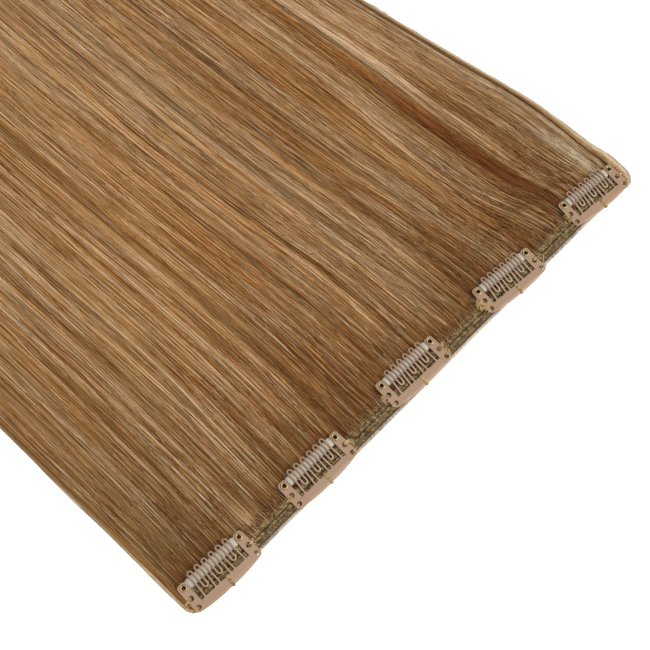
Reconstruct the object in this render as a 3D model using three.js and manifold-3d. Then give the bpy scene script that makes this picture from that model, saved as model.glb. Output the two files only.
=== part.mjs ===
// A clip-in hair extension lying on a table: a sewn weft, a fall of straight hair and five snap clips.
// The weft runs along X and the hair along +Y, with the table at z = 0.
// The origin is the middle of the weft's underside. Lengths are in millimetres, angles in degrees.
import * as THREE from 'three';
import { mergeVertices } from 'three/addons/utils/BufferGeometryUtils.js';
import Module from 'manifold-3d';

// Weft
const WEFT_LENGTH = 250.6;
const WEFT_HEIGHT = 3;
const WEFT_CORNER = 5;
const EDGE_ROLL_WIDTH = 1.3;
const OUTER_TRACK_WIDTH = 2.8;
const INNER_TRACK_WIDTH = 2.6;
const WEFT_ROUNDING = 0.4;
const SEAM_GAP = 0.2;

// Hair
const HAIR_LENGTH = 400;
const HAIR_HEIGHT = 6.2;
const HAIR_ROOT_GAP = 0.3;
const HAIR_CLIP_CLEARANCE = 0.2;
const ROOT_STRIP_DEPTH = 3;
const LOCK_OVERLAP = 2.4;
const LOCK_SIDE_HEIGHT = 0.7;
const FALL_SIDE_HEIGHT = 0.45;
const FALL_SIDE_SLOPE = 6;
const TIP_HEIGHT = 0.5;
const SWAY = 1.2;
const SWAY_WAVE = 150;

// Clip plate, measured from the line through its two rivets
const WINDOW_WIDTH = 22.9;
const PLATE_THICKNESS = 0.45;
const PLATE_GAP = 0.3;
const RIVET_INSET = 1.85;
const ARM_TIP = 1.95;
const ARM_WIDTH_AT_TIP = 3.9;
const ARM_WIDTH_AT_BAND = 4.4;
const BAND_INNER = 8.2;
const BAND_END = 9.9;
const BAND_BULGE = 1.3;
const TIP_ROUND = 1.5;
const BAND_ROUND = 1.8;
const WINDOW_ROUND = 0.5;
const SEWING_HOLES = [
  { name: 'upper', inset: 2.35, down: 4.4, radius: 1 },
  { name: 'lower', inset: 2.45, down: 8.4, radius: 0.9 },
];

// Clip comb
const TOOTH_PITCH = 1.68;
const TOOTH_WIDTH = 0.68;
const COMB_CELLS = 3;
const CELL_PITCH_AT_ROOT = 7.07;
const LOOP_CENTRE = 2.25;
const BEND_CENTRE = 4.15;
const LOOP_DROP = 0.25;
const COMB_ROOT = 7.2;
const COMB_SEAM = 0.25;
const COMB_SIDE_GAP = 0.3;
const COMB_LIFT = 0.3;

// Clip bar, sleeve and eyelets
const BAR_WIDTH = 3;
const BAR_THICKNESS = 0.5;
const BAR_OVERHANG = 1.6;
const SLEEVE_WIDTH = 3.8;
const SLEEVE_HEIGHT = 1.9;
const SLEEVE_END_GAP = 0.3;
const SLEEVE_BORE_GAP = 0.1;
const FLANGE_RADIUS = 1.4;
const BARREL_RADIUS = 0.95;
const EYELET_BORE = 0.75;
const FLANGE_HEIGHT = 0.25;
const CLIP_GAP = 0.1;

// Each clip's place along the weft, in pitches from the middle, and how far hand sewing left it off true
const CLIP_PITCH = 53.75;
const CLIPS = [
  { name: 'clip_1', pitches: -2, aside: -0.1, inward: -0.7, turn: -1.7 },
  { name: 'clip_2', pitches: -1, aside: -2.4, inward: 0.3, turn: -0.7 },
  { name: 'clip_3', pitches: 0, aside: -2.4, inward: 1.1, turn: -1.9 },
  { name: 'clip_4', pitches: 1, aside: -0.4, inward: 0.1, turn: -5 },
  { name: 'clip_5', pitches: 2, aside: -0.1, inward: 0.5, turn: -5 },
];
const RIVET_LINE = 2.9;

// The fall of hair past the clips, a row for each section. past is a share of the length beyond the
// clips, left and right are shares of half the weft's length, and rise is a share of the full swell.
const HAIR_SECTIONS = [
  { past: 0, left: 1, right: 1.005, rise: 0, gather: 1 },
  { past: 0.016, left: 1, right: 0.988, rise: 0.45, gather: 1 },
  { past: 0.05, left: 1, right: 0.98, rise: 0.8, gather: 1 },
  { past: 0.1, left: 1, right: 0.965, rise: 1, gather: 1 },
  { past: 0.17, left: 1.003, right: 0.91, rise: 1, gather: 1 },
  { past: 0.3, left: 1.005, right: 0.825, rise: 0.93, gather: 1 },
  { past: 0.45, left: 1, right: 0.755, rise: 0.83, gather: 1 },
  { past: 0.62, left: 0.98, right: 0.695, rise: 0.72, gather: 0.98 },
  { past: 0.8, left: 0.95, right: 0.64, rise: 0.54, gather: 0.94 },
  { past: 0.93, left: 0.925, right: 0.615, rise: 0.32, gather: 0.84 },
  { past: 1, left: 0.91, right: 0.6, rise: 0.04, gather: 0.4 },
];

// The locks from left to right. share is a lock's part of the width, reach its part of the hair's
// length, crown its part of the height and phase where its slow sideways wave starts, in turns.
const LOCKS = [
  { share: 0.8, reach: 0.975, crown: 0.86, phase: 0.0 },
  { share: 1.1, reach: 0.99, crown: 0.97, phase: 0.12 },
  { share: 0.9, reach: 1, crown: 0.9, phase: 0.3 },
  { share: 1.2, reach: 0.985, crown: 1, phase: 0.42 },
  { share: 1, reach: 0.995, crown: 0.92, phase: 0.5 },
  { share: 0.85, reach: 0.975, crown: 0.98, phase: 0.66 },
  { share: 1.15, reach: 1, crown: 0.93, phase: 0.7 },
  { share: 1, reach: 0.985, crown: 1, phase: 0.85 },
  { share: 0.95, reach: 0.97, crown: 0.9, phase: 0.95 },
  { share: 1.2, reach: 0.99, crown: 0.97, phase: 1.1 },
  { share: 0.9, reach: 0.975, crown: 0.91, phase: 1.2 },
  { share: 1.05, reach: 0.985, crown: 0.96, phase: 1.32 },
  { share: 0.8, reach: 0.965, crown: 0.84, phase: 1.45 },
];

const RIVET_SPAN = WINDOW_WIDTH + 2 * RIVET_INSET;
const WEFT_WIDTH = EDGE_ROLL_WIDTH + OUTER_TRACK_WIDTH + INNER_TRACK_WIDTH + 2 * SEAM_GAP;
const WEFT_OUTER = -WEFT_WIDTH / 2;
const HALF_WEFT = WEFT_LENGTH / 2;
const PLATE_BOTTOM = WEFT_HEIGHT + PLATE_GAP;
const PLATE_TOP = PLATE_BOTTOM + PLATE_THICKNESS;
const BAR_TOP = PLATE_BOTTOM - CLIP_GAP;
const BAR_BOTTOM = BAR_TOP - BAR_THICKNESS;
const BAR_MIDDLE = (BAR_TOP + BAR_BOTTOM) / 2;
const SLEEVE_TOP = BAR_MIDDLE + SLEEVE_HEIGHT / 2;
const SLEEVE_BOTTOM = BAR_MIDDLE - SLEEVE_HEIGHT / 2;
const EYELET_HOLE = BARREL_RADIUS + CLIP_GAP;

const wasm = await Module();
wasm.setup();

function toSolid(geometry) {
  const bare = geometry.clone();
  bare.deleteAttribute('normal');
  bare.deleteAttribute('uv');
  const merged = mergeVertices(bare, 1e-4);
  return new wasm.Manifold(new wasm.Mesh({
    numProp: 3,
    vertProperties: merged.attributes.position.array,
    triVerts: new Uint32Array(merged.index.array),
  }));
}

function toGeometry(solid) {
  const mesh = solid.getMesh();
  const geometry = new THREE.BufferGeometry();
  geometry.setAttribute('position', new THREE.BufferAttribute(mesh.vertProperties, 3));
  geometry.setIndex(new THREE.BufferAttribute(mesh.triVerts, 1));
  geometry.computeVertexNormals();
  return geometry;
}

function join(geometries) {
  return toGeometry(geometries.map(toSolid).reduce((whole, piece) => whole.add(piece)));
}

function named(name, geometry, material) {
  const mesh = new THREE.Mesh(geometry, material);
  mesh.name = name;
  return mesh;
}

// An outline whose corners are rounded: each corner is left its radius early and met its radius late.
function roundedShape(corners) {
  const shape = new THREE.Shape();
  corners.forEach((corner, i) => {
    const at = new THREE.Vector2(corner.x, corner.y);
    const before = corners[(i + corners.length - 1) % corners.length];
    const after = corners[(i + 1) % corners.length];
    const enter = new THREE.Vector2(before.x, before.y).sub(at).setLength(corner.round).add(at);
    const leave = new THREE.Vector2(after.x, after.y).sub(at).setLength(corner.round).add(at);
    if (i === 0) shape.moveTo(enter.x, enter.y);
    else shape.lineTo(enter.x, enter.y);
    shape.quadraticCurveTo(at.x, at.y, leave.x, leave.y);
  });
  shape.closePath();
  return shape;
}

function circle(x, y, radius) {
  const path = new THREE.Path();
  path.absarc(x, y, radius, 0, 2 * Math.PI);
  return path;
}

// A plan outline stood on the table with its upper and lower edges rounded over.
function sewnSlab(shape) {
  const geometry = new THREE.ExtrudeGeometry(shape, {
    depth: WEFT_HEIGHT - 2 * WEFT_ROUNDING,
    bevelThickness: WEFT_ROUNDING,
    bevelSize: WEFT_ROUNDING,
    bevelOffset: -WEFT_ROUNDING,
    bevelSegments: 2,
    curveSegments: 3,
  });
  geometry.translate(0, 0, WEFT_ROUNDING);
  return geometry;
}

// A track ends where the edge roll's round corner would meet its outer side.
function trackShape(fromEdge, width) {
  const inner = WEFT_CORNER - EDGE_ROLL_WIDTH - SEAM_GAP;
  const depth = Math.max(0, WEFT_CORNER - fromEdge);
  const end = HALF_WEFT - WEFT_CORNER + Math.sqrt(Math.max(0, inner ** 2 - depth ** 2));
  const low = WEFT_OUTER + fromEdge;
  return new THREE.Shape([
    new THREE.Vector2(-end, low),
    new THREE.Vector2(end, low),
    new THREE.Vector2(end, low + width),
    new THREE.Vector2(-end, low + width),
  ]);
}

// A U in plan: along the weft's outer edge, round both corners and up both ends to the hair.
function edgeRollShape() {
  const bend = HALF_WEFT - WEFT_CORNER;
  const centre = WEFT_OUTER + WEFT_CORNER;
  const top = WEFT_OUTER + WEFT_WIDTH;
  const inner = WEFT_CORNER - EDGE_ROLL_WIDTH;
  const shape = new THREE.Shape();
  shape.moveTo(-HALF_WEFT, top);
  shape.lineTo(-HALF_WEFT, centre);
  shape.absarc(-bend, centre, WEFT_CORNER, Math.PI, 1.5 * Math.PI, false);
  shape.absarc(bend, centre, WEFT_CORNER, 1.5 * Math.PI, 2 * Math.PI, false);
  shape.lineTo(HALF_WEFT, top);
  shape.lineTo(HALF_WEFT - EDGE_ROLL_WIDTH, top);
  shape.absarc(bend, centre, inner, 2 * Math.PI, 1.5 * Math.PI, true);
  shape.absarc(-bend, centre, inner, 1.5 * Math.PI, Math.PI, true);
  shape.lineTo(EDGE_ROLL_WIDTH - HALF_WEFT, top);
  shape.closePath();
  return shape;
}

function makeWeft(trackMaterial, edgeMaterial) {
  const weft = new THREE.Group();
  const outerFrom = EDGE_ROLL_WIDTH + SEAM_GAP;
  const innerFrom = outerFrom + OUTER_TRACK_WIDTH + SEAM_GAP;
  const outer = sewnSlab(trackShape(outerFrom, OUTER_TRACK_WIDTH));
  const inner = sewnSlab(trackShape(innerFrom, INNER_TRACK_WIDTH));
  weft.add(named('weft_edge_roll', sewnSlab(edgeRollShape()), edgeMaterial));
  weft.add(named('weft_outer_track', outer, trackMaterial));
  weft.add(named('weft_inner_track', inner, trackMaterial));
  return weft;
}

// Hair. Under the clips it lies flat below their sleeves; past them it swells and drifts as the
// table of sections says. Every lock is a box whose grid is moved to the lock's place.
const HAIR_ROOT = WEFT_OUTER + WEFT_WIDTH + HAIR_ROOT_GAP;
const HAIR_ROOT_HEIGHT = SLEEVE_BOTTOM - HAIR_CLIP_CLEARANCE;
const LOOP_TIP = LOOP_CENTRE + (TOOTH_PITCH + TOOTH_WIDTH) / 2;

function clipReach() {
  const reaches = CLIPS.map((clip) => {
    const swing = (WINDOW_WIDTH / 2) * Math.abs(Math.sin(THREE.MathUtils.degToRad(clip.turn)));
    return WEFT_OUTER + WEFT_WIDTH + RIVET_LINE + clip.inward + LOOP_TIP + swing;
  });
  return Math.max(...reaches);
}

function hairSections() {
  const flat = clipReach();
  const beyond = HAIR_ROOT + HAIR_LENGTH - flat;
  const root = { ...HAIR_SECTIONS[0], y: HAIR_ROOT, beyond: 0 };
  return [root, ...HAIR_SECTIONS.map((row) => ({ ...row, y: flat, beyond: beyond * row.past }))];
}

// A lock's cross-section is a low arch that is lowest at the sides of the whole fall.
function lockGeometry(lock, from, to, sections) {
  const acrossSteps = 4;
  const box = new THREE.BoxGeometry(1, 1, 1, acrossSteps, sections.length - 1, 1);
  const place = box.attributes.position;
  for (let i = 0; i < place.count; i += 1) {
    const section = sections[Math.round((place.getY(i) + 0.5) * (sections.length - 1))];
    const left = -section.left * HALF_WEFT;
    const right = section.right * HALF_WEFT;
    const overlap = LOCK_OVERLAP / (right - left);
    const low = Math.max(0, from - overlap);
    const high = Math.min(1, to + overlap);
    const middle = (low + high) / 2;
    const share = middle + place.getX(i) * (high - low) * section.gather;
    const y = section.y + section.beyond * lock.reach;
    const wave = Math.sin(2 * Math.PI * ((y - HAIR_ROOT) / SWAY_WAVE + lock.phase));
    const sway = SWAY * section.rise * wave * Math.sin(Math.PI * share);
    const side = Math.min(1, FALL_SIDE_HEIGHT + FALL_SIDE_SLOPE * Math.min(share, 1 - share));
    const arch = LOCK_SIDE_HEIGHT + (1 - LOCK_SIDE_HEIGHT) * Math.cos(Math.PI * place.getX(i));
    const swell = (HAIR_HEIGHT - HAIR_ROOT_HEIGHT) * section.rise * lock.crown * arch * side;
    const flat = HAIR_ROOT_HEIGHT * (section.past < 1 ? 1 : TIP_HEIGHT);
    const x = left + share * (right - left) + sway;
    place.setXYZ(i, x, y, (place.getZ(i) + 0.5) * (flat + swell));
  }
  return box;
}

function makeHair(material) {
  const sections = hairSections();
  const shares = LOCKS.reduce((sum, lock) => sum + lock.share, 0);
  const pieces = [];
  let from = 0;
  for (const lock of LOCKS) {
    const to = from + lock.share / shares;
    pieces.push(lockGeometry(lock, from, to, sections));
    from = to;
  }
  const left = -sections[0].left * HALF_WEFT;
  const right = sections[0].right * HALF_WEFT;
  const strip = new THREE.BoxGeometry(right - left, ROOT_STRIP_DEPTH, HAIR_ROOT_HEIGHT);
  strip.translate((left + right) / 2, HAIR_ROOT + ROOT_STRIP_DEPTH / 2, HAIR_ROOT_HEIGHT / 2);
  pieces.push(strip);
  return named('hair', join(pieces), material);
}

// Clip frame: arms at both sides of an open window, and a band whose outer edge bulges.
function frameGeometry() {
  const inside = WINDOW_WIDTH / 2;
  const tip = inside + ARM_WIDTH_AT_TIP;
  const band = inside + ARM_WIDTH_AT_BAND;
  const bulge = BAND_END + BAND_BULGE;
  const shape = roundedShape([
    { x: -inside, y: -BAND_INNER, round: WINDOW_ROUND },
    { x: -inside, y: ARM_TIP, round: TIP_ROUND },
    { x: -tip, y: ARM_TIP, round: TIP_ROUND },
    { x: -band, y: -BAND_END, round: BAND_ROUND },
    { x: -band / 2, y: -bulge, round: band / 3 },
    { x: band / 2, y: -bulge, round: band / 3 },
    { x: band, y: -BAND_END, round: BAND_ROUND },
    { x: tip, y: ARM_TIP, round: TIP_ROUND },
    { x: inside, y: ARM_TIP, round: TIP_ROUND },
    { x: inside, y: -BAND_INNER, round: WINDOW_ROUND },
  ]);
  for (const side of [-1, 1]) {
    shape.holes.push(circle(side * RIVET_SPAN / 2, 0, EYELET_HOLE));
    for (const hole of SEWING_HOLES) {
      shape.holes.push(circle(side * (inside + hole.inset), -hole.down, hole.radius));
    }
  }
  const geometry = new THREE.ExtrudeGeometry(shape, {
    depth: PLATE_THICKNESS,
    bevelEnabled: false,
    curveSegments: 4,
  });
  geometry.translate(0, 0, PLATE_BOTTOM);
  return geometry;
}

// A flat strip that follows a plan path: at every point four corners stand square to the path, half
// the width to each side and half the thickness up and down, at the height that lift gives for y.
function ribbon(path, width, thickness, lift) {
  const points = path.getPoints(2);
  const corners = [];
  points.forEach((point, i) => {
    const back = point.clone().sub(points[Math.max(i - 1, 0)]).normalize();
    const ahead = points[Math.min(i + 1, points.length - 1)].clone().sub(point).normalize();
    const along = back.clone().add(ahead).normalize();
    const straight = Math.max(along.dot(back), along.dot(ahead));
    const side = new THREE.Vector2(-along.y, along.x).multiplyScalar(width / 2 / straight);
    const z = lift(point.y);
    for (const [across, up] of [[1, -1], [-1, -1], [-1, 1], [1, 1]]) {
      corners.push(point.x + across * side.x, point.y + across * side.y, z + up * thickness / 2);
    }
  });
  const faces = [0, 1, 2, 0, 2, 3];
  for (let i = 0; i < points.length - 1; i += 1) {
    for (let k = 0; k < 4; k += 1) {
      const a = 4 * i + k;
      const b = 4 * i + (k + 1) % 4;
      faces.push(a, b + 4, b, a, a + 4, b + 4);
    }
  }
  const last = 4 * (points.length - 1);
  faces.push(last, last + 2, last + 1, last, last + 3, last + 2);
  const geometry = new THREE.BufferGeometry();
  geometry.setAttribute('position', new THREE.Float32BufferAttribute(corners, 3));
  geometry.setIndex(faces);
  return geometry;
}

// One cell of the comb: up a leg, round a loop, down to a short bend, up and round a second loop
// and down the other leg. The legs fan out from the sleeve's edge to the root.
function combCell(cell, foldLine) {
  const half = TOOTH_PITCH / 2;
  const root = cell * CELL_PITCH_AT_ROOT;
  const x = cell * 4 * TOOTH_PITCH;
  const sunk = -(COMB_ROOT + (BAND_INNER - COMB_SEAM)) / 2;
  const path = new THREE.Path();
  path.moveTo(root - 3 * half, sunk);
  path.lineTo(root - 3 * half, -COMB_ROOT);
  path.lineTo(x - 3 * half, foldLine);
  path.lineTo(x - 3 * half, LOOP_CENTRE);
  path.absarc(x - 2 * half, LOOP_CENTRE, half, Math.PI, 0, true);
  path.lineTo(x - half, foldLine);
  path.lineTo(x - half, -BEND_CENTRE);
  path.absarc(x, -BEND_CENTRE, half, Math.PI, 2 * Math.PI, false);
  path.lineTo(x + half, foldLine);
  path.lineTo(x + half, LOOP_CENTRE);
  path.absarc(x + 2 * half, LOOP_CENTRE, half, Math.PI, 0, true);
  path.lineTo(x + 3 * half, foldLine);
  path.lineTo(root + 3 * half, -COMB_ROOT);
  path.lineTo(root + 3 * half, sunk);
  return path;
}

// The comb leaves its root level with the plate, climbs over the sleeve and dips at its loops.
function combGeometry() {
  const level = (PLATE_BOTTOM + PLATE_TOP) / 2;
  const rise = SLEEVE_TOP + COMB_LIFT - PLATE_BOTTOM;
  const foldLine = -(SLEEVE_WIDTH / 2 + COMB_LIFT);
  const lift = (y) => {
    const climb = Math.min(Math.max((y + COMB_ROOT) / (foldLine + COMB_ROOT), 0), 1);
    const dip = Math.max(0, y - LOOP_CENTRE) / (LOOP_TIP - LOOP_CENTRE);
    return level + rise * climb - LOOP_DROP * dip ** 2;
  };
  const rootWidth = WINDOW_WIDTH - 2 * COMB_SIDE_GAP;
  const rootEdge = BAND_INNER - COMB_SEAM;
  const root = new THREE.BoxGeometry(rootWidth, rootEdge - COMB_ROOT, PLATE_THICKNESS);
  root.translate(0, -(rootEdge + COMB_ROOT) / 2, level);
  const cells = Array.from({ length: COMB_CELLS }, (_, i) => i - (COMB_CELLS - 1) / 2);
  const strips = cells.map((cell) => ribbon(combCell(cell, foldLine), TOOTH_WIDTH, PLATE_THICKNESS, lift));
  return join([root, ...strips]);
}

function barGeometry() {
  const end = RIVET_SPAN / 2 + BAR_OVERHANG;
  const side = BAR_WIDTH / 2;
  const shape = roundedShape([
    { x: -end, y: -side, round: side / 2 },
    { x: end, y: -side, round: side / 2 },
    { x: end, y: side, round: side / 2 },
    { x: -end, y: side, round: side / 2 },
  ]);
  shape.holes.push(circle(-RIVET_SPAN / 2, 0, EYELET_HOLE), circle(RIVET_SPAN / 2, 0, EYELET_HOLE));
  const geometry = new THREE.ExtrudeGeometry(shape, {
    depth: BAR_THICKNESS,
    bevelEnabled: false,
    curveSegments: 3,
  });
  geometry.translate(0, 0, BAR_BOTTOM);
  return geometry;
}

// The sleeve's section is drawn across the bar and drawn out along X.
function sleeveGeometry() {
  const round = SLEEVE_HEIGHT / 2;
  const flat = SLEEVE_WIDTH / 2 - round;
  const shape = new THREE.Shape();
  shape.absarc(flat, 0, round, -Math.PI / 2, Math.PI / 2, false);
  shape.absarc(-flat, 0, round, Math.PI / 2, 1.5 * Math.PI, false);
  const boreWidth = BAR_WIDTH / 2 + SLEEVE_BORE_GAP;
  const boreHeight = BAR_THICKNESS / 2 + SLEEVE_BORE_GAP;
  shape.holes.push(new THREE.Path([
    new THREE.Vector2(-boreWidth, -boreHeight),
    new THREE.Vector2(boreWidth, -boreHeight),
    new THREE.Vector2(boreWidth, boreHeight),
    new THREE.Vector2(-boreWidth, boreHeight),
  ]));
  const length = WINDOW_WIDTH - 2 * SLEEVE_END_GAP;
  const geometry = new THREE.ExtrudeGeometry(shape, {
    depth: length,
    bevelEnabled: false,
    curveSegments: 3,
  });
  const across = new THREE.Vector3(0, 1, 0);
  const up = new THREE.Vector3(0, 0, 1);
  const along = new THREE.Vector3(1, 0, 0);
  geometry.applyMatrix4(new THREE.Matrix4().makeBasis(across, up, along));
  geometry.translate(-length / 2, 0, BAR_MIDDLE);
  return geometry;
}

// A tubular rivet: its barrel passes arm and bar, and a flange is rolled over at each end.
function eyeletGeometry() {
  const low = BAR_BOTTOM - CLIP_GAP;
  const high = PLATE_TOP + CLIP_GAP;
  const profile = [
    [EYELET_BORE, low - FLANGE_HEIGHT],
    [FLANGE_RADIUS, low - FLANGE_HEIGHT / 2],
    [FLANGE_RADIUS, low],
    [BARREL_RADIUS, low],
    [BARREL_RADIUS, high],
    [FLANGE_RADIUS, high],
    [EYELET_BORE, high + FLANGE_HEIGHT],
    [EYELET_BORE, low - FLANGE_HEIGHT],
  ];
  const sides = 10;
  const geometry = new THREE.LatheGeometry(profile.map(([r, z]) => new THREE.Vector2(r, z)), sides);
  geometry.rotateX(Math.PI / 2);
  return geometry;
}

function makeClip(clip, materials) {
  const group = new THREE.Group();
  const x = clip.pitches * CLIP_PITCH + clip.aside;
  const y = WEFT_OUTER + WEFT_WIDTH + RIVET_LINE + clip.inward;
  group.position.set(x, y, 0);
  group.rotation.z = THREE.MathUtils.degToRad(clip.turn);
  group.add(named(`${clip.name}_frame`, frameGeometry(), materials.enamel));
  group.add(named(`${clip.name}_comb`, combGeometry(), materials.enamel));
  group.add(named(`${clip.name}_bar`, barGeometry(), materials.steel));
  group.add(named(`${clip.name}_sleeve`, sleeveGeometry(), materials.silicone));
  for (const [side, sign] of [['left', -1], ['right', 1]]) {
    const eyelet = named(`${clip.name}_eyelet_${side}`, eyeletGeometry(), materials.brass);
    eyelet.position.x = sign * RIVET_SPAN / 2;
    group.add(eyelet);
  }
  return group;
}

const hairMaterial = new THREE.MeshStandardMaterial({ color: 0x8f6a42, roughness: 0.5 });
const trackMaterial = new THREE.MeshStandardMaterial({ color: 0x574731, roughness: 0.85 });
const edgeMaterial = new THREE.MeshStandardMaterial({ color: 0x9c8a76, roughness: 0.8 });
const clipMaterials = {
  enamel: new THREE.MeshStandardMaterial({ color: 0xb68f77, roughness: 0.35, metalness: 0.3 }),
  steel: new THREE.MeshStandardMaterial({ color: 0x9a9a98, roughness: 0.35, metalness: 1 }),
  silicone: new THREE.MeshStandardMaterial({ color: 0xcdc8bc, roughness: 0.4 }),
  brass: new THREE.MeshStandardMaterial({ color: 0xbfa05a, roughness: 0.3, metalness: 1 }),
};

const hairExtension = new THREE.Group();
hairExtension.add(makeWeft(trackMaterial, edgeMaterial));
hairExtension.add(makeHair(hairMaterial));
for (const clip of CLIPS) hairExtension.add(makeClip(clip, clipMaterials));

export default hairExtension;
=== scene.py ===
"""A clip-in hair extension lying on a pale table: a sewn weft, straight hair and five snap clips.

Lengths in this script are millimetres in the frame's axes, with X along the weft and +Y down the
hair. The script follows the object as it is put together: weft, hair, clips, sewing threads.
"""

import math

import bpy
import numpy as np
from mathutils import Matrix, Vector
from mathutils.geometry import tessellate_polygon


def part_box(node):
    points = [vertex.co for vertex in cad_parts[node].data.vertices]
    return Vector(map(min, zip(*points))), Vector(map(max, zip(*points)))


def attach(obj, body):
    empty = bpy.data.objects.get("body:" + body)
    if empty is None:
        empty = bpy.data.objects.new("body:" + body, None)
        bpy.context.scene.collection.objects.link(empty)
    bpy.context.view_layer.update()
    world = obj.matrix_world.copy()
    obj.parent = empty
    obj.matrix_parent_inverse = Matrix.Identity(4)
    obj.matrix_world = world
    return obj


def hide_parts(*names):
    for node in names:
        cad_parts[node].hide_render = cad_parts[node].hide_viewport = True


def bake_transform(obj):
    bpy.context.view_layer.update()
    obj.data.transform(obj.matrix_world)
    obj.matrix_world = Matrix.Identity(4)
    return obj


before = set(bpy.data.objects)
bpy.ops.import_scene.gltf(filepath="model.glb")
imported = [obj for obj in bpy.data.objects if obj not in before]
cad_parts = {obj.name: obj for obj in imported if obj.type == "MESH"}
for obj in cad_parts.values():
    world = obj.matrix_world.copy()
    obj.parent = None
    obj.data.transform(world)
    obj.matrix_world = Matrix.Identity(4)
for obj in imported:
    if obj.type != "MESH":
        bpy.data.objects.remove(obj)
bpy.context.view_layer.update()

# Weft tracks
# Two flat bands of doubled-over hair, machine sewn side by side. Each is a padded strip whose top
# and bottom are ribbed by the small bundles that were folded over it.
MM = 0.001
RIB_PITCH = 0.93
RIB_DEPTH = 0.16
TRACK_STEP = 0.23
TRACK_SIDES = 10
TRACK_SQUARE = 0.6
TRACK_END = 0.15
TRACK_DARK = (0.050, 0.031, 0.014, 1)
TRACK_LIGHT = (0.155, 0.098, 0.046, 1)
TRACK_MEET = 0.15


def box_of(node):
    """The node's lowest and highest corners, in millimetres."""
    low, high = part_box(node)
    return np.array(low) / MM, np.array(high) / MM


def piece(name, points, *faces, chart=None, flat=0):
    """A smooth mesh object from points in millimetres and arrays of faces, a face in each row.
    chart gives each point a place on the colour map that the material reads.
    The last groups of faces, as many as flat says, are shaded flat."""
    corners = np.concatenate([group.ravel() for group in faces]).astype(np.int32)
    sizes = np.concatenate([np.full(len(group), group.shape[1]) for group in faces])
    mesh = bpy.data.meshes.new(name)
    mesh.vertices.add(len(points))
    mesh.vertices.foreach_set("co", (points * MM).astype(np.float32).ravel())
    mesh.loops.add(len(corners))
    mesh.loops.foreach_set("vertex_index", corners)
    mesh.polygons.add(len(sizes))
    mesh.polygons.foreach_set("loop_start", (np.cumsum(sizes) - sizes).astype(np.int32))
    mesh.update(calc_edges=True)
    smooth = np.ones(len(sizes), dtype=bool)
    if flat:
        smooth[-sum(len(group) for group in faces[-flat:]) :] = False
    mesh.polygons.foreach_set("use_smooth", smooth)
    if chart is not None:
        layer = mesh.uv_layers.new(name="OFBake")
        layer.uv.foreach_set("vector", chart[corners].astype(np.float32).ravel())
    made = bpy.data.objects.new(name, mesh)
    bpy.context.scene.collection.objects.link(made)
    return made


def ringed(rings):
    """Points and outward faces of a closed body. rings is (stations, sides, 3), each ring turning
    clockwise as seen from the station after it; the first and last ring are closed by one face."""
    stations, sides = rings.shape[:2]
    at = np.arange(stations * sides).reshape(stations, sides)
    beside = np.roll(at, -1, axis=1)
    walls = np.stack([at[:-1], at[1:], beside[1:], beside[:-1]], -1).reshape(-1, 4)
    return rings.reshape(-1, 3), walls, at[:1], at[-1:, ::-1]


class Wire:
    """A node's output. Sums and products with it add Math nodes."""

    def __init__(self, tree, socket=None):
        self.tree = tree
        self.socket = socket

    def make(self, kind, settings=None, out=0, **inputs):
        """A node of that type. Settings are set first, then each input gets its value or link."""
        node = self.tree.nodes.new("ShaderNode" + kind)
        for name, value in (settings or {}).items():
            if name == "stops":
                ramp = node.color_ramp.elements
                while len(ramp) < len(value):
                    ramp.new(0.5)
                for stop, (position, colour) in zip(ramp, value):
                    stop.position = position
                    stop.color = colour
            else:
                setattr(node, name, value)
        for name, value in inputs.items():
            known = {socket.identifier: socket for socket in node.inputs}
            socket = known.get(name) or node.inputs[name.replace("_", " ")]
            if isinstance(value, Wire):
                self.tree.links.new(value.socket, socket)
            else:
                socket.default_value = value
        return Wire(self.tree, node.outputs[out] if node.outputs else None)

    def maths(self, operation, first, second):
        return self.make("Math", {"operation": operation}, Value=first, Value_001=second)

    def __add__(self, other):
        return self.maths("ADD", self, other)

    def __radd__(self, other):
        return self.maths("ADD", other, self)

    def __mul__(self, other):
        return self.maths("MULTIPLY", self, other)

    def __rmul__(self, other):
        return self.maths("MULTIPLY", other, self)

    def blend(self, first, second):
        """first where this value is 0 and second where it is 1, colours or links."""
        return self.make("Mix", {"data_type": "RGBA"}, 2, Factor_Float=self, A_Color=first, B_Color=second)

    def noise(self, scale, detail, stretch=None):
        """Noise on the object's own coordinates, which are stretched first where that is given."""
        place = self.make("TexCoord", out=3)
        if stretch:
            place = self.make("Mapping", Vector=place, Scale=stretch)
        return self.make("TexNoise", Vector=place, Scale=scale, Detail=detail)

    def between(self, low, high):
        """0 where this value is low or less, 1 where it is high or more."""
        return self.make("MapRange", {"clamp": True}, Value=self, From_Min=low, From_Max=high)

    def spread(self, first, last):
        """first where this value is 0, last where it is 1."""
        return self.make("MapRange", Value=self, To_Min=first, To_Max=last)

    def relief(self, strength, height):
        """The direction of a surface that this value raises, by up to height in metres."""
        return self.make("Bump", Strength=strength, Distance=height, Height=self)


def material(name):
    """A new material with an empty tree, and the Wire that makes its nodes."""
    made = bpy.data.materials.new(name)
    made.use_nodes = True
    made.node_tree.nodes.clear()
    return made, Wire(made.node_tree)


def finish_with(wire, **inputs):
    """The material's surface: a Principled shader with these inputs."""
    surface = wire.make("BsdfPrincipled", **inputs)
    wire.make("OutputMaterial", Surface=surface)


def dress(made, surface, body, slot, *nodes):
    """Gives the piece its material and body, and hides the CAD nodes that it stands in for. The slot is
    not used.
    """
    made.data.materials.append(surface)
    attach(made, body)
    if nodes:
        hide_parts(*nodes)


def squared_off(value, power):
    """The value raised to a power, with its sign kept. A power under 1 makes a circle squarer."""
    return np.sign(value) * np.abs(value) ** power


def section(sides, power):
    """Points round a unit section, clockwise seen from +X: y and z are powers of cos and sin."""
    turn = -2 * np.pi * (np.arange(sides) + 0.5) / sides
    return squared_off(np.cos(turn), power), squared_off(np.sin(turn), power)


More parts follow.
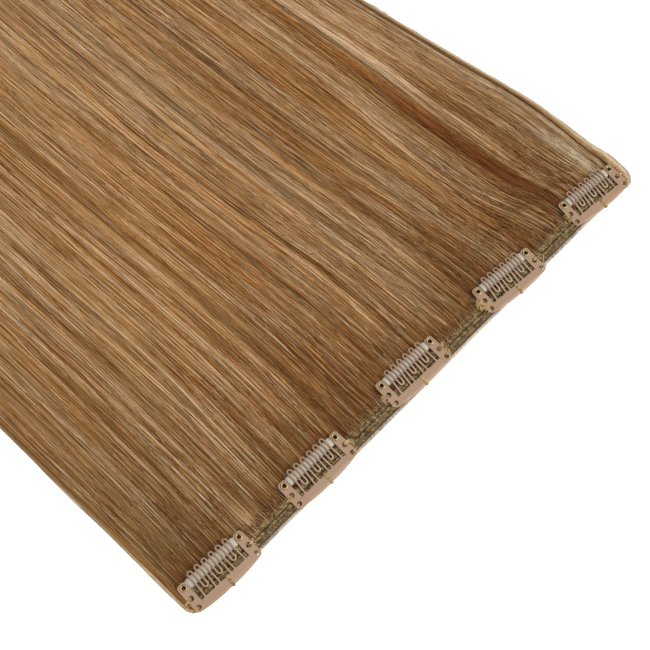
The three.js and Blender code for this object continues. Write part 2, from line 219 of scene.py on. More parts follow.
def ribbed_track(name):
    """The track's box as a padded strip: section half-sizes times a superellipse, with the height
    less by a rib that is the pitch's squared sine along X, and ends drawn in over one pitch."""
    low, high = box_of(name)
    low[1] -= TRACK_MEET
    high[1] += TRACK_MEET
    x = np.linspace(low[0], high[0], int((high[0] - low[0]) / TRACK_STEP))
    y, z = section(TRACK_SIDES, TRACK_SQUARE)
    rib = RIB_DEPTH * np.sin(np.pi * x / RIB_PITCH + 0.6 * np.sin(x / 7)) ** 2
    ends = np.clip(np.minimum(x - low[0], high[0] - x) / RIB_PITCH, TRACK_END, 1) ** 0.5
    half = (high - low) / 2
    middle = (high + low) / 2
    rings = np.empty((len(x), TRACK_SIDES, 3))
    rings[:, :, 0] = x[:, None]
    rings[:, :, 1] = middle[1] + half[1] * ends[:, None] * y
    rings[:, :, 2] = middle[2] + (half[2] * ends - rib)[:, None] * z
    return ringed(rings)


track_cloth, wire = material("sewn hair bundles")
bundles = wire.noise(1.0, 3.0, stretch=(1150, 260, 500))
flecks = wire.noise(700.0, 2.0)
cloth = (bundles + flecks * 0.6).between(0.55, 1.05).blend(TRACK_DARK, TRACK_LIGHT)
ribs = (bundles + flecks * 0.5).relief(0.8, 0.0003)
finish_with(wire, Base_Color=cloth, Roughness=0.8, Specular_IOR_Level=0.2, Normal=ribs)

for name in ("weft_inner_track", "weft_outer_track"):
    track = piece(name.replace("weft", "sewn"), *ribbed_track(name))
    dress(track, track_cloth, "extension", "weft_track", name)

# Edge roll
# A pale tape folded over the weft's free edge and both its ends, whipped down with a slanting
# stitch, so its round section is crossed by slanting ridges.
STITCH_PITCH = 0.78
STITCH_DEPTH = 0.09
STITCH_SLANT = 1.6
ROLL_WIDTH = 1.3
ROLL_STEP = 0.2
ROLL_SIDES = 10
ROLL_SQUARE = 0.75
WEFT_CORNER = 5.0
CORNER_STEPS = 12
ROLL_PAINTED_SHADE = (0.19, 0.145, 0.095, 1)
ROLL_PALE = (0.50, 0.425, 0.335, 1)

roll_low, roll_high = box_of("weft_edge_roll")


def edge_line(inset, step):
    """A line along the weft's ends and free edge, inset from its outline: straight up the left end,
    a quarter circle, along the free edge, a quarter circle, and up the right end."""
    left, right = roll_low[0] + inset, roll_high[0] - inset
    outer, top = roll_low[1] + inset, roll_high[1]
    radius = WEFT_CORNER - inset
    turn = np.linspace(0, np.pi / 2, CORNER_STEPS)
    corner_one = np.stack([left + radius * (1 - np.cos(turn)), outer + radius * (1 - np.sin(turn))], -1)
    corner_two = np.stack([right - radius * (1 - np.sin(turn)), outer + radius * (1 - np.cos(turn))], -1)
    line = np.concatenate([[[left, top]], corner_one, corner_two, [[right, top]]])
    run = np.concatenate([[0], np.cumsum(np.hypot(*np.diff(line, axis=0).T))])
    at = np.linspace(0, run[-1], int(run[-1] / step))
    return at, np.stack([np.interp(at, run, line[:, 0]), np.interp(at, run, line[:, 1])], -1)


def whipped_roll():
    """The section's superellipse carried along the edge line, its size less by a sine of the run
    along the line plus the turn round the section."""
    run, line = edge_line(ROLL_WIDTH / 2, ROLL_STEP)
    ahead = np.gradient(line, axis=0)
    ahead /= np.linalg.norm(ahead, axis=1, keepdims=True)
    y, z = section(ROLL_SIDES, ROLL_SQUARE)
    turn = np.arctan2(z, y)
    slant = 2 * np.pi * run[:, None] / STITCH_PITCH + STITCH_SLANT * turn
    ridge = 1 - STITCH_DEPTH * (1 + np.sin(slant))
    height = (roll_high[2] - roll_low[2]) / 2
    rings = np.empty((len(run), ROLL_SIDES, 3))
    rings[:, :, 0] = line[:, 0, None] - ahead[:, 1, None] * y * ridge * ROLL_WIDTH / 2
    rings[:, :, 1] = line[:, 1, None] + ahead[:, 0, None] * y * ridge * ROLL_WIDTH / 2
    rings[:, :, 2] = roll_low[2] + height * (1 + z * (0.3 + 0.7 * ridge))
    return ringed(rings)


# The thread pattern is the tape's own, but its darker tone is the tape's shadow colour: painted shade over
# the real stitch ridges
roll_cloth, wire = material("folded tape")
threads = wire.noise(1.0, 2.0, stretch=(1400, 900, 600))
cloth = (threads + wire.noise(60.0, 2.0)).between(0.75, 1.2).blend(ROLL_PAINTED_SHADE, ROLL_PALE)
finish_with(wire, Base_Color=cloth, Roughness=0.8, Normal=threads.relief(0.6, 0.0002))
dress(piece("whipped_edge", *whipped_roll()), roll_cloth, "extension", "weft_edge", "weft_edge_roll")

# Stitching on the tracks
# Golden sewing thread. Zigzags of different pitch cross on the inner track into an uneven lattice,
# a row of close slanting stitches runs along the outer one, and a loop binds each small bundle of
# hair at the inner edge.
THREAD_SIDES = 3
THREAD_WORN = (0.085, 0.053, 0.020, 1)
THREAD_GOLD = (0.46, 0.315, 0.135, 1)
STEPS_A_PITCH = 5
TRACK_MARGIN = 1.2
TURN_SHARPNESS = 0.94
UP = np.array([0.31, 0.17, 0.93])
ZIGZAGS = (
    # track, middle and reach as shares of its width, pitch, phase, thread radius
    ("weft_inner_track", 0.48, 0.46, 1.32, 0.00, 0.13),
    ("weft_inner_track", 0.52, 0.44, 1.30, 0.52, 0.12),
    ("weft_inner_track", 0.26, 0.24, 0.97, 0.20, 0.10),
    ("weft_inner_track", 0.76, 0.22, 1.12, 0.70, 0.11),
    ("weft_inner_track", 1.02, 0.24, 0.93, 0.30, 0.10),
    ("weft_outer_track", 0.82, 0.21, 0.93, 0.10, 0.15),
    ("weft_outer_track", 0.78, 0.17, 0.97, 0.60, 0.12),
    ("weft_outer_track", 0.30, 0.27, 1.45, 0.40, 0.09),
    ("weft_outer_track", 0.33, 0.24, 1.15, 0.90, 0.09),
)


def carried(paths, radii, sides):
    """Round sections carried along many paths at once. paths is (count, steps, 3) and radii is
    (count, steps); each ring is centre + radius (cos a across + sin a up), square to its path."""
    ahead = np.gradient(paths, axis=1)
    ahead /= np.linalg.norm(ahead, axis=2, keepdims=True)
    across = np.cross(ahead, UP)
    across /= np.linalg.norm(across, axis=2, keepdims=True)
    up = np.cross(across, ahead)
    turn = 2 * np.pi * np.arange(sides) / sides
    round_it = np.cos(turn)[:, None] * across[:, :, None] + np.sin(turn)[:, None] * up[:, :, None]
    rings = paths[:, :, None] + radii[:, :, None, None] * round_it
    count, steps = paths.shape[:2]
    at = np.arange(count * steps * sides).reshape(count, steps, sides)
    beside = np.roll(at, -1, axis=2)
    walls = np.stack([at[:, :-1], at[:, 1:], beside[:, 1:], beside[:, :-1]], -1).reshape(-1, 4)
    return rings.reshape(-1, 3), walls, at[:, 0], at[:, -1, ::-1]


def joined(*bodies):
    """Several results of carried or ringed as one set of points, quads and end faces."""
    points = np.concatenate([body[0] for body in bodies])
    shift = np.cumsum([0] + [len(body[0]) for body in bodies[:-1]])
    groups = [[part + move for part in body[1:]] for body, move in zip(bodies, shift)]
    return points, *(group for parts in groups for group in parts)


rng = np.random.default_rng(7)


def uneven(x, spacing, spread):
    """A slow random curve along x: seeded draws at even spacing, with straight lines between."""
    knots = np.arange(x[0], x[-1] + 2 * spacing, spacing)
    return np.interp(x, knots, rng.normal(0, spread, len(knots)))


def zigzag(node, middle, reach, pitch, phase):
    """A thread to and fro across the track: y swings about its middle by reach times a softened
    triangle wave of x, z lies on the padded top and dips where the needle went in."""
    low, high = box_of(node)
    x = np.arange(low[0] + TRACK_MARGIN, high[0] - TRACK_MARGIN, pitch / STEPS_A_PITCH)
    turn = 2 * np.pi * (x / pitch + phase + uneven(x, 9, 0.12))
    swing = np.arcsin(TURN_SHARPNESS * np.sin(turn)) / np.arcsin(TURN_SHARPNESS)
    width = high[1] - low[1]
    y = low[1] + width * (middle + reach * swing * (1 + uneven(x, 1.7, 0.22))) + uneven(x, 2.3, 0.09)
    z = high[2] + 0.12 - 0.22 * np.abs(swing) ** 3 + uneven(x, 1.1, 0.07)
    return np.stack([x + uneven(x, 0.9, 0.12), y, z], -1)[None]


stitches = []
for node, middle, reach, pitch, phase, radius in ZIGZAGS:
    path = zigzag(node, middle, reach, pitch, phase)
    thickness = radius * (1 + 0.25 * uneven(path[0, :, 0], 1.3, 1.0).clip(-1, 1))[None]
    stitches.append(carried(path, thickness, THREAD_SIDES))


def plied_thread(name, worn, gold, patches, plies, worn_below, **finish):
    """A thread's material: worn to gold in patches of one noise scale, raised by finer plies."""
    made, wire = material(name)
    colour = wire.noise(patches, 3.0).between(worn_below, 0.62).blend(worn, gold)
    finish_with(wire, Base_Color=colour, Normal=wire.noise(plies, 1.0).relief(0.5, 0.0001), **finish)
    return made


gloss = {"Roughness": 0.55, "Specular_IOR_Level": 0.25}
track_thread = plied_thread("golden sewing thread", THREAD_WORN, THREAD_GOLD, 620.0, 3000.0, 0.38, **gloss)
dress(piece("track_stitching", *joined(*stitches)), track_thread, "extension", "weft_track")

# Hair
# Straight hair, sewn into the weft at its inner edge and laid along the table. Under the surface
# strands one body of hair, matted together, fills the fall, as the CAD solid does; it is coloured
# dark as painted shade, for the shadow between and under the strands. HAIR_SECTIONS repeats that
# solid's outline: past is a share of the length beyond the clips.
HAIR_ROOT = 3.85
HAIR_LENGTH = 400.0
CLIP_REACH = 11.4
HAIR_HEIGHT = 6.2
HALF_WEFT = 125.3
HAIR_AT_WEFT = 2.9
CLIP_PRESS = 1.1
HAIR_SECTIONS = np.array(
    [
        # past, left, right, rise
        (0.000, 1.000, 1.005, 0.00),
        (0.016, 1.000, 0.988, 0.45),
        (0.050, 1.000, 0.980, 0.80),
        (0.100, 1.000, 0.965, 1.00),
        (0.170, 1.003, 0.910, 1.00),
        (0.300, 1.005, 0.825, 0.93),
        (0.450, 1.000, 0.755, 0.83),
        (0.620, 0.980, 0.695, 0.72),
        (0.800, 0.950, 0.640, 0.54),
        (0.930, 0.925, 0.615, 0.32),
        (1.000, 0.910, 0.600, 0.10),
    ]
)
CLIPS = {
    # name: rivet line's middle x, y, turn in degrees
    "clip_1": (-107.6, 5.75, -1.7),
    "clip_2": (-56.15, 6.75, -0.7),
    "clip_3": (-2.4, 7.55, -1.9),
    "clip_4": (53.35, 6.55, -5.0),
    "clip_5": (107.4, 6.95, -5.0),
}
CLIP_HALF = 16.0


def smooth_step(value, low, high):
    """0 below low and 1 above high, with an S between."""
    share = np.clip((value - low) / (high - low), 0, 1)
    return share * share * (3 - 2 * share)


def fading(value, low, high):
    """1 below low and 0 above high, with an S between."""
    return 1 - smooth_step(value, low, high)


def section_at(y, column):
    """A column of HAIR_SECTIONS at y, with its corners rounded by a mean over nearby places."""
    rows = CLIP_REACH + (HAIR_ROOT + HAIR_LENGTH - CLIP_REACH) * HAIR_SECTIONS[:, 0]
    spread = np.linspace(-1, 1, 5) * 12 * smooth_step(y, CLIP_REACH, 60)[..., None]
    return np.interp(y[..., None] + spread, rows, HAIR_SECTIONS[:, column]).mean(-1)


def drift(u, y):
    """How far strands lean aside between the clips and the middle of the fall: on the right they
    swing left soon after the clips and come back, most near the side, and on the left they move a
    little to the right and keep to it for longer."""
    broad = -3.0 * np.sin(np.pi * np.clip((u - 0.45) / 0.55, 0, 1)) ** 1.5
    narrow = -6.0 * np.sin(np.pi * np.clip((u - 0.70) / 0.30, 0, 1)) ** 1.5
    left = 2.6 * np.sin(np.pi * np.clip(u / 0.5, 0, 1))
    near = broad * (smooth_step(y, 12, 48) - smooth_step(y, 60, 190))
    nearer = narrow * (smooth_step(y, 8, 36) - smooth_step(y, 38, 120))
    return near + nearer + left * (smooth_step(y, 15, 95) - smooth_step(y, 150, 330))


def place_across(u, y):
    """x of the strand that starts at share u of the weft, at a distance y down the hair."""
    left = -HALF_WEFT * section_at(y, 1)
    right = HALF_WEFT * section_at(y, 2)
    return left + u * (right - left) + drift(u, y)


def under_clip(x):
    """1 below a clip's bar, 0 between the clips."""
    near = [smooth_step(CLIP_HALF + 2.5 - np.abs(x - row[0]), 0, 2.5) for row in CLIPS.values()]
    return np.max(near, axis=0)


def top_of_hair(u, x, y):
    """Height of the fall: low under the clips and level with the weft between them, swelling past
    them as rise says, and falling away to the table at both sides."""
    start = HAIR_AT_WEFT - CLIP_PRESS * under_clip(x) * fading(y, 11, 16)
    swell = (HAIR_HEIGHT - start) * section_at(y, 3)
    side = np.clip(np.minimum(u, 1 - u) / 0.1, 0, 1)
    edge = 0.3 + 0.7 * np.sqrt(1 - (1 - side) ** 2)
    return (start * (1 - 0.7 * smooth_step(y, 330, 400)) + swell) * edge


BODY_COLUMNS = 130
BODY_ROWS = 36
BODY_SUNK = 0.7
BODY_LOW = 0.12
BODY_THIN = 0.35
# The filling's two colours are dark as painted shade, for the shadow between and under the strands
FILL_PAINTED_SHADE_DARK = (0.11, 0.058, 0.024, 1)
FILL_PAINTED_SHADE_LIGHT = (0.27, 0.155, 0.065, 1)


def matted_body():
    """The filling: rings of a top at the hair's height less BODY_SUNK and a flat underside."""
    share = np.linspace(0, 1, BODY_ROWS) ** 1.5
    u = np.linspace(0.004, 0.996, BODY_COLUMNS)[None] * np.ones((BODY_ROWS, 1))
    uneven_end = 0.975 + 0.007 * np.sin(61 * u + 3 * np.sin(17 * u)) + 0.005 * np.sin(190 * u)
    y = HAIR_ROOT + HAIR_LENGTH * share[:, None] * uneven_end
    x = place_across(u, y)
    ridges = 0.175 * np.sin(38 * np.pi * u + 2 * np.sin(9 * u)) * smooth_step(y, 15, 60)
    top = np.maximum(top_of_hair(u, x, y) - BODY_SUNK + ridges, BODY_THIN)
    over = np.stack([x, y, top], -1)
    under = np.stack([x, y, np.full_like(x, BODY_LOW)], -1)
    return ringed(np.concatenate([under, over[:, ::-1]], axis=1)[::-1, ::-1])


# The filling is streaked between two dark tones: painted shade where the fall shows through its strands
filling_in_painted_shade, wire = material("matted hair in painted shade")
streaks = wire.noise(1.0, 3.0, stretch=(1500, 14, 300))
shade = streaks.between(0.35, 0.7).blend(FILL_PAINTED_SHADE_DARK, FILL_PAINTED_SHADE_LIGHT)
ridges = streaks.relief(0.7, 0.0004)
finish_with(wire, Base_Color=shade, Roughness=0.7, Specular_IOR_Level=0.1, Normal=ridges)
dress(piece("hair_filling", *matted_body()), filling_in_painted_shade, "extension", "hair", "hair")

# Strands
# Fine strands in three layers over the filling. Close neighbours run together in thin tufts, tufts
# in locks, locks in swathes, and single strands cross them and dive. A strand's colour is a place
# on a small chart: along it from dark to light, up it from ash to copper.
ASH = (
    (0.00, (0.130, 0.045, 0.006, 1)),
    (0.25, (0.225, 0.114, 0.026, 1)),
    (0.50, (0.348, 0.222, 0.096, 1)),
    (0.75, (0.510, 0.388, 0.240, 1)),
    (1.00, (0.715, 0.620, 0.480, 1)),
)
COPPER = (
    (0.00, (0.210, 0.036, 0.001, 1)),
    (0.25, (0.325, 0.096, 0.003, 1)),
    (0.50, (0.462, 0.198, 0.034, 1)),
    (0.75, (0.640, 0.350, 0.140, 1)),
    (1.00, (0.860, 0.570, 0.330, 1)),
)
STRAND_STEPS = 15
STRAND_SIDES = 3
SWATHES_ACROSS = 21
LOCKS_ACROSS = 62
TUFTS_ACROSS = 300
CHART_WIDTH = 0.004
BUNDLE_WIDTHS = (0.45, 1.6)
MIDDLE_TONE = 0.50
LOWEST_STRAND = 0.16
LOWEST_SHORT_HAIR = 0.15

# Patches where the hair is lighter, darker or redder: place, spread and how much
PATCHES = np.array(
    [
        # x, y, spread_x, spread_y, lighter, redder
        (116.3, 14.5, 2.4, 9.0, 0.62, -0.35),
        (112.0, 30.0, 3.0, 10.0, 0.24, -0.15),
        (-88.0, 8.0, 5.0, 4.5, 0.46, 0.16),
        (92.0, 24.0, 20.0, 18.0, -0.26, -0.04),
        (45.0, 28.0, 22.0, 22.0, -0.16, -0.03),
        (90.0, 58.0, 18.0, 32.0, -0.34, -0.02),
        (-112.0, 22.0, 16.0, 24.0, -0.10, -0.26),
        (-20.0, 32.0, 24.0, 16.0, -0.13, 0.06),
        (-98.0, 52.0, 18.0, 24.0, -0.09, -0.08),
        (-14.0, 78.0, 22.0, 30.0, -0.08, 0.02),
        (-88.0, 104.0, 22.0, 36.0, -0.04, -0.02),
        (-30.0, 110.0, 18.0, 60.0, 0.00, 0.12),
        (42.0, 115.0, 24.0, 45.0, -0.13, 0.0),
    ]
)


def bundles_across(count, light, red, lift, turn):
    """Bundles of strands side by side from left to right, of uneven widths from seeded draws, with
    each one's looks, height and sideways walk down the hair."""
    widths = rng.uniform(*BUNDLE_WIDTHS, count)
    edges = np.concatenate([[0], np.cumsum(widths)]) / widths.sum()
    return {
        "edges": edges,
        "centre": (edges[1:] + edges[:-1]) / 2,
        "half": (edges[1:] - edges[:-1]) / 2,
        "light": rng.normal(0, light, count),
        "red": rng.normal(0, red, count),
        "lift": rng.normal(0, lift, count),
        "walk": walk(count, turn),
    }


def even(low, high, count):
    """Even random draws between low and high, one for each strand, as a column."""
    return rng.uniform(low, high, count)[:, None]


def bell(middle, spread, count):
    """Normal random draws about middle, one for each strand, as a column."""
    return rng.normal(middle, spread, count)[:, None]


def walk(count, spread):
    """Sideways offsets at each step of many paths: normal draws, less near the roots where the
    steps are short, added up from none at the root."""
    drawn = rng.normal(0, spread, (count, STRAND_STEPS)) * np.linspace(0, 1, STRAND_STEPS) ** 0.6
    return np.cumsum(drawn, axis=1)


def bundle_of(bundles, u):
    """The bundle that each share u of the weft falls in."""
    return np.clip(np.searchsorted(bundles["edges"], u) - 1, 0, len(bundles["centre"]) - 1)


def off_centre(bundles, index, u):
    """How far across its bundle each strand starts: 0 in the middle, 1 at the side."""
    return np.abs(u - bundles["centre"][index]) / bundles["half"][index]


swathes = bundles_across(SWATHES_ACROSS, 0.031, 0.05, 0.10, 0.60)
locks = bundles_across(LOCKS_ACROSS, 0.031, 0.06, 0.10, 0.50)
tufts = bundles_across(TUFTS_ACROSS, 0.036, 0.05, 0.07, 0.36)
tuft_glints = rng.normal(0, 0.06, (TUFTS_ACROSS, STRAND_STEPS))


def coloured(x, y, light, red):
    """Chart places from a strand's own light and red, with what the place on the hair adds. Near the
    roots and the weft the light is lowered as painted shade, and far down the fall it is raised a
    little as painted light.
    """
    # painted shade near the roots and the weft, painted light far down the fall
    light = light - 0.23 * fading(y, 4, 36) - 0.07 * fading(y, 20, 85)
    light = light + 0.01 + 0.03 * smooth_step(y, 110, 210) - 0.16 * fading(y, 4, 20)
    red = red - 0.04 - 0.24 * fading(y, 6, 34) - 0.10 * fading(y, 30, 90)
    for px, py, spread_x, spread_y, lighter, redder in PATCHES:
        near = np.exp(-(((x - px) / spread_x) ** 2) - ((y - py) / spread_y) ** 2)
        light = light + lighter * near
        red = red + redder * near
    return np.stack([light, red], -1)


def share_of(x):
    """The share of the weft's length at x, 0 at its left end and 1 at its right."""
    return np.clip((x + HALF_WEFT) / (2 * HALF_WEFT), 0, 1)


def lively(u, y):
    """How much more the locks differ and wander at a place: most on the right, near the clips."""
    near = 0.8 * smooth_step(u, 0.12, 0.3) * fading(y, 45, 95)
    return 1 + near + smooth_step(u, 0.45, 0.75) * (3.0 - 2.1 * smooth_step(y, 70, 200))


def shared_light(u, y):
    """What a strand's swathe, lock and tuft add to its light."""
    wide = swathes["light"][bundle_of(swathes, u)] + locks["light"][bundle_of(locks, u)]
    return wide[:, None] * lively(u[:, None], y) + tufts["light"][bundle_of(tufts, u)][:, None]


def strands(count, depth, thickness, contrast):
    """Paths, radii and chart places of many strands at once. A strand starts at its share of the
    weft and runs down y. Its x is the fall's place for that share, drawn in to its tuft and its
    lock, plus their walks and its own. Its z is the fall's height less a depth that changes from
    step to step and is more at the side of a tuft or a lock."""
    u0 = rng.uniform(0, 1, count)
    lock = bundle_of(locks, u0)
    tuft = bundle_of(tufts, u0)
    reach = HAIR_LENGTH * (1 - 0.42 * rng.uniform(0, 1, count) ** 2.2)
    share = np.linspace(0, 1, STRAND_STEPS) ** 1.7
    y = HAIR_ROOT - even(0.2, 1.5, count) + reach[:, None] * share
    y[:, 2:-1] += rng.uniform(-0.35, 0.35, (count, STRAND_STEPS - 3)) * np.diff(y, axis=1)[:, 2:]
    to_tuft = (0.1 + 0.33 * smooth_step(y, 6, 50)) * even(0, 1.4, count)
    to_lock = (0.03 + 0.25 * smooth_step(y, 30, 380)) * even(0, 1.3, count)
    u = u0[:, None] + (tufts["centre"][tuft] - u0)[:, None] * to_tuft
    u = u + (locks["centre"][lock][:, None] - u) * to_lock
    away = smooth_step(y, 6, 60)
    more = lively(u, y)
    walks = locks["walk"][lock] * more**0.5 + tufts["walk"][tuft] + walk(count, 0.42)
    x = place_across(u, y) + away * walks
    wander = 0.25 + 0.5 * even(0, 1, count) + rng.normal(0, 0.45, (count, STRAND_STEPS))
    sunk = depth[0] + (depth[1] - depth[0]) * np.clip(wander, 0, 1.3)
    valley = 0.26 * off_centre(locks, lock, u0) ** 4 + 0.16 * off_centre(tufts, tuft, u0) ** 2
    lift = swathes["lift"][bundle_of(swathes, u0)] + locks["lift"][lock] + tufts["lift"][tuft] - valley
    lift = lift[:, None] * away * more**0.5
    z = top_of_hair(np.clip(u, 0, 1), x, y) - sunk + lift
    z = np.maximum(z, LOWEST_STRAND + 0.25 * even(0, 1, count))
    radius = thickness * even(0.6, 1.3, count) * (1 - 0.7 * share[None] ** 8)
    own = bell(0, contrast, count) * (1.25 - 0.25 * smooth_step(y, 20, 90))
    glints = tuft_glints[tuft] + rng.normal(0, 0.07, (count, STRAND_STEPS))
    light = MIDDLE_TONE + own + shared_light(u0, y) + glints
    red = MIDDLE_TONE + locks["red"][lock] + tufts["red"][tuft] + rng.normal(0, 0.10, count)
    # Strands at the very sides of the fall are painted lighter: painted light from the bright table round
    # the thin edge
    painted_side_light = 0.16 * fading(u, 0.002, 0.010) + 0.26 * fading(1 - u, 0.002, 0.012)
    return np.stack([x, y, z], -1), radius, coloured(x, y, light + painted_side_light, red[:, None])


def short_hairs(count, low, high, length, lean, lifted, thickness, look, steps=5):
    """Loose single hairs on the fall: from a random place each runs straight at a lean with a slight
    bow. It bulges above the fall by a sine of its share and both its ends dip in."""
    share = np.linspace(0, 1, steps)
    u = even(0.01, 0.99, count)
    y0 = even(low, high, count)
    run = even(*length, count)
    y0 = np.minimum(y0, HAIR_ROOT + HAIR_LENGTH - run - even(2, 40, count))
    angle = np.radians(bell(0, lean, count))
    bow = bell(0, 0.06, count) * np.sin(np.pi * share)
    y = y0 + run * share * np.cos(angle)
    x = place_across(u, y) + run * ((share - 0.5) * np.sin(angle) + bow * np.abs(angle) / 0.08)
    x = np.clip(x, place_across(0.003, y), place_across(0.997, y))
    across = (x - place_across(0.0, y)) / (place_across(1.0, y) - place_across(0.0, y))
    z = top_of_hair(across, x, y) + lifted * (1.6 * np.sin(np.pi * share) - 0.8)
    z = z - even(0, 0.6, count) * lifted
    radius = thickness * even(0.7, 1.2, count) * (1 - 0.5 * share)
    light = look[0] + look[1] * bell(0, 1, count) + shared_light(u[:, 0], y)
    red = bell(MIDDLE_TONE, 0.10, count)
    return np.stack([x, y, np.maximum(z, LOWEST_SHORT_HAIR)], -1), radius, coloured(x, y, light, red)


CLIP_CLEAR = 13.2
FRINGE_RISE = 0.14
FRINGE_SUNK = 0.3


def fringe(count):
    """Hairs that leave the stitches of the inner track like a comb's teeth, between the clips: pale
    ones in bundles a rib apart and dark ones in the gaps, whose near black is partly their own dark
    colour and partly painted shade between the bundles. They lie on the weft, arch over its edge
    and sink into the fall."""
    share = np.linspace(0, 1, 7)
    x0 = rng.uniform(-HALF_WEFT + 1.5, HALF_WEFT - 1.5, count)
    x0 = x0[np.min([np.abs(x0 - row[0]) for row in CLIPS.values()], axis=0) > CLIP_CLEAR]
    count = len(x0)
    gap = rng.uniform(0, 1, count) < 0.4
    x0 = (np.round(x0 / RIB_PITCH) + 0.5 * gap) * RIB_PITCH + rng.normal(0, 0.12, count)
    y0 = even(1.7, 3.3, count)
    run = even(2.6, 8.0, count)
    angle = np.radians(6 * np.sin(x0 / 11) + rng.normal(0, 6, count))[:, None]
    x = x0[:, None] + run * np.sin(angle) * share
    y = y0 + run * share
    weft_top = roll_high[2] + FRINGE_RISE
    sunk = top_of_hair(share_of(x), x, y) - FRINGE_SUNK - weft_top
    z = weft_top + sunk * smooth_step(share, 0.35, 1.0) + 0.2 * np.sin(np.pi * share)
    radius = 0.10 * even(0.6, 1.3, count) * (1 - 0.4 * share)
    # Hairs in the gaps are near black: partly their own dark colour, partly painted shade between the pale
    # bundles
    light = np.where(gap, 0.04, 0.50)[:, None] + bell(0, 0.20, count) + 0 * share
    red = bell(0.16, 0.10, count) + 0 * share
    return np.stack([x, y, z], -1), radius, np.stack([light, red], -1)


WRAP_INWARD = 2.6
WRAPS = {
    # side: reach outwards, width of the ones painted pale as edge light, how far drawn in along the hair,
    # raised share
    -1: (0.4, 1.1, 0.55, 0.0),
    1: (1.6, 4.0, 0.45, 0.012),
}


def wrapped_end(side, count):
    """Hairs laid round an end of the weft: from under the clip each follows a quarter circle about
    the weft's corner, then the side of the fall. A thin fringe of them makes the soft side, painted
    pale and less red as painted light from the bright table round the thin edge."""
    reach, pale, drawn_in, raised = WRAPS[side]
    off = even(-WRAP_INWARD, reach, count)
    radius = WEFT_CORNER + off
    turn = np.radians(even(2, 70, count))
    length = even(15, 220, count)
    share = np.linspace(0, 1, 12) ** 1.6
    bend = radius * (np.pi / 2 - turn)
    run = share * (bend + length)
    angle = np.minimum(turn + run / radius, np.pi / 2)
    beyond = np.maximum(run - bend, 0)
    centre_y = roll_low[1] + WEFT_CORNER
    y = centre_y - radius * np.cos(angle) + beyond
    u = np.full_like(y, 0.5 + side / 2)
    along = np.abs(place_across(u, np.maximum(y, HAIR_ROOT)))
    corner = HALF_WEFT - WEFT_CORNER + radius * np.sin(angle)
    stray = bell(0, 0.25, count) * share
    narrow = off * (1 - drawn_in * smooth_step(beyond, 4, 60)) + stray
    x = side * (corner + (along + narrow - corner) * smooth_step(y, 2, 12))
    level = even(0.3, 1, count)
    inner = np.clip(-off / WRAP_INWARD, 0, 1)
    start = np.where(off > 0.1, 0.3 + 2.7 * level, roll_high[2] + 0.05 + 0.15 * level)
    fall = top_of_hair(raised + inner * 0.02, x, y) * (0.35 + 0.65 * level)
    z = np.maximum(start + (fall - start) * smooth_step(y, 3, 22), LOWEST_STRAND)
    thick = 0.13 * even(0.6, 1.3, count) * (1 - 0.6 * share)
    # The outermost hairs are painted pale and less red: painted light from the bright table round the edge
    painted_edge_light = smooth_step(off, reach - pale, reach - 0.35 * pale)
    light = 0.42 + 0.55 * painted_edge_light + bell(0, 0.20, count) * (1 - 0.4 * painted_edge_light)
    olive = fading(y, 4, 26) * (1 - 0.7 * painted_edge_light) * (side < 0)
    light = light - 0.25 * fading(y, -2, 14) * (off < 0) - 0.20 * olive
    red = bell(0.32, 0.18, count) - 0.26 * painted_edge_light
    red = red - 0.15 * fading(y, 2, 20) - 0.15 * olive
    return np.stack([x, y, z], -1), thick, np.stack([light, red], -1)


def strand_piece(name, *groups):
    """One mesh of several groups of strands. Round a strand the chart place shifts a little, so
    that no face is flat on the map."""
    bodies, charts = [], []
    turn = 2.1 * np.arange(STRAND_SIDES)
    round_it = CHART_WIDTH * np.stack([np.cos(turn), np.sin(turn)], -1)
    for paths, radii, places in groups:
        bodies.append(carried(paths, radii, STRAND_SIDES))
        shifted = np.clip(places, 0.02, 0.98)[:, :, None] + round_it
        charts.append(shifted.reshape(-1, 2))
    return piece(name, *joined(*bodies), chart=np.concatenate(charts))


hair_gloss, wire = material("straight hair")
chart = wire.make("UVMap", {"uv_map": "OFBake"})
along = wire.make("SeparateXYZ", Vector=chart)
up = wire.make("SeparateXYZ", out=1, Vector=chart)
ash = wire.make("ValToRGB", {"stops": ASH}, Fac=along)
copper = wire.make("ValToRGB", {"stops": COPPER}, Fac=along)
finish_with(wire, Base_Color=up.blend(ash, copper), Roughness=0.45, Specular_IOR_Level=0.2)

hair_pieces = {
    "hair_under_layer": [strands(1500, (0.45, 1.1), 0.24, 0.10)],
    "hair_middle_layer": [strands(2100, (0.15, 0.7), 0.168, 0.155)],
    "hair_top_layer": [strands(2200, (0.0, 0.45), 0.135, 0.205)],
    "hair_broken_streaks": [
        short_hairs(4300, 8, 390, (12, 48), 1.6, 0.20, 0.120, (0.50, 0.20)),
        short_hairs(900, 6, 60, (9, 30), 2.8, 0.20, 0.110, (0.50, 0.24)),
    ],
    "hair_loose_strands": [
        short_hairs(150, 10, 250, (25, 80), 3.4, 0.24, 0.085, (0.72, 0.18), steps=8),
        short_hairs(260, 4.5, 16, (7, 24), 13, 0.27, 0.075, (0.58, 0.24)),
        fringe(1150),
    ],
    "hair_side_strands": [wrapped_end(-1, 270), wrapped_end(1, 330)],
}
for name, groups in hair_pieces.items():
    dress(strand_piece(name, *groups), hair_gloss, "extension", "hair")

